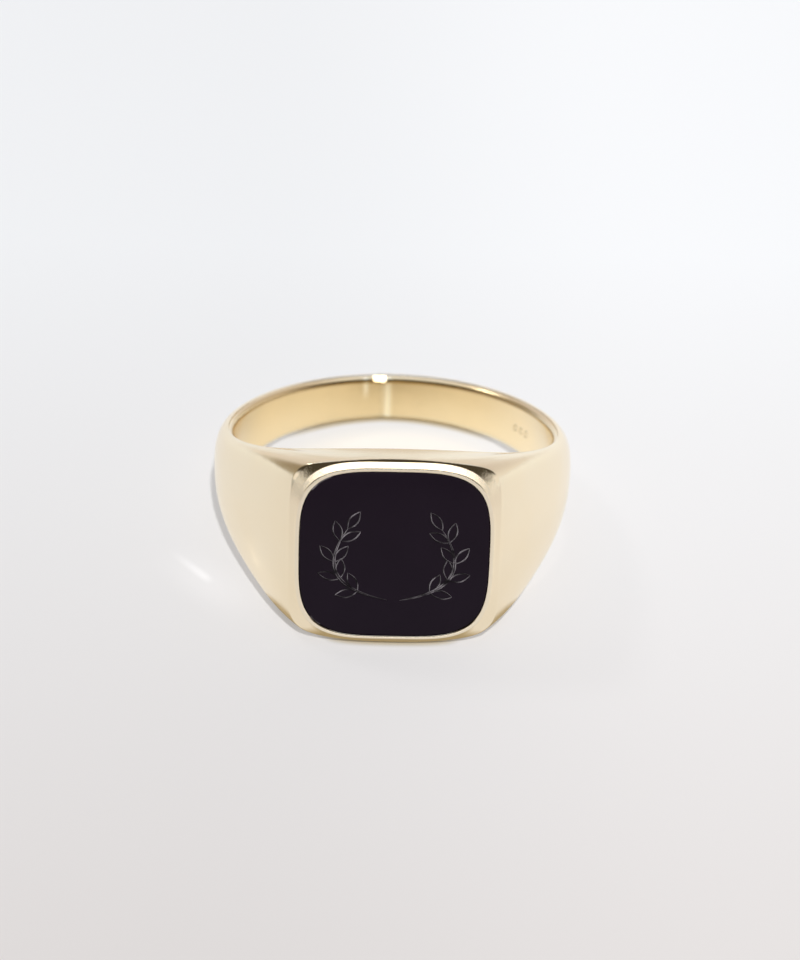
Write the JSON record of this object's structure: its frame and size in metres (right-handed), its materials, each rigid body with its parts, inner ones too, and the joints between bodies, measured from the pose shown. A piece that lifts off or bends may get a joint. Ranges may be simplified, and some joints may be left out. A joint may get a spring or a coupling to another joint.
{
  "type": "signet ring",
  "caption": "Gold signet ring with a flat black cushion-shaped tablet in a thin collar, broad head, shoulders tapering to a slim band.",
  "frame": {"origin": "Centre of the ring's bounding box, in its mid-plane. The finger bore's axis is parallel to Z through x 0, y +0.475 mm.", "axes": "+Z along the finger bore; the signet face looks along -Y; +X is to the right of a viewer who faces the tablet. The ring lies on its side."},
  "size_m": [0.0204, 0.0214, 0.011],
  "materials": {
    "gold_body": "polished",
    "gold_collar": "polished",
    "onyx": "gloss",
    "cement": "matte",
    "gold_solder": "polished"
  },
  "bodies": {
    "root": {"ring_body": "gold_body", "bezel_collar": "gold_collar", "onyx_tablet": "onyx", "cement_bed": "cement", "sizing_solder_seam": "gold_solder"}
  },
  "joints": []
}
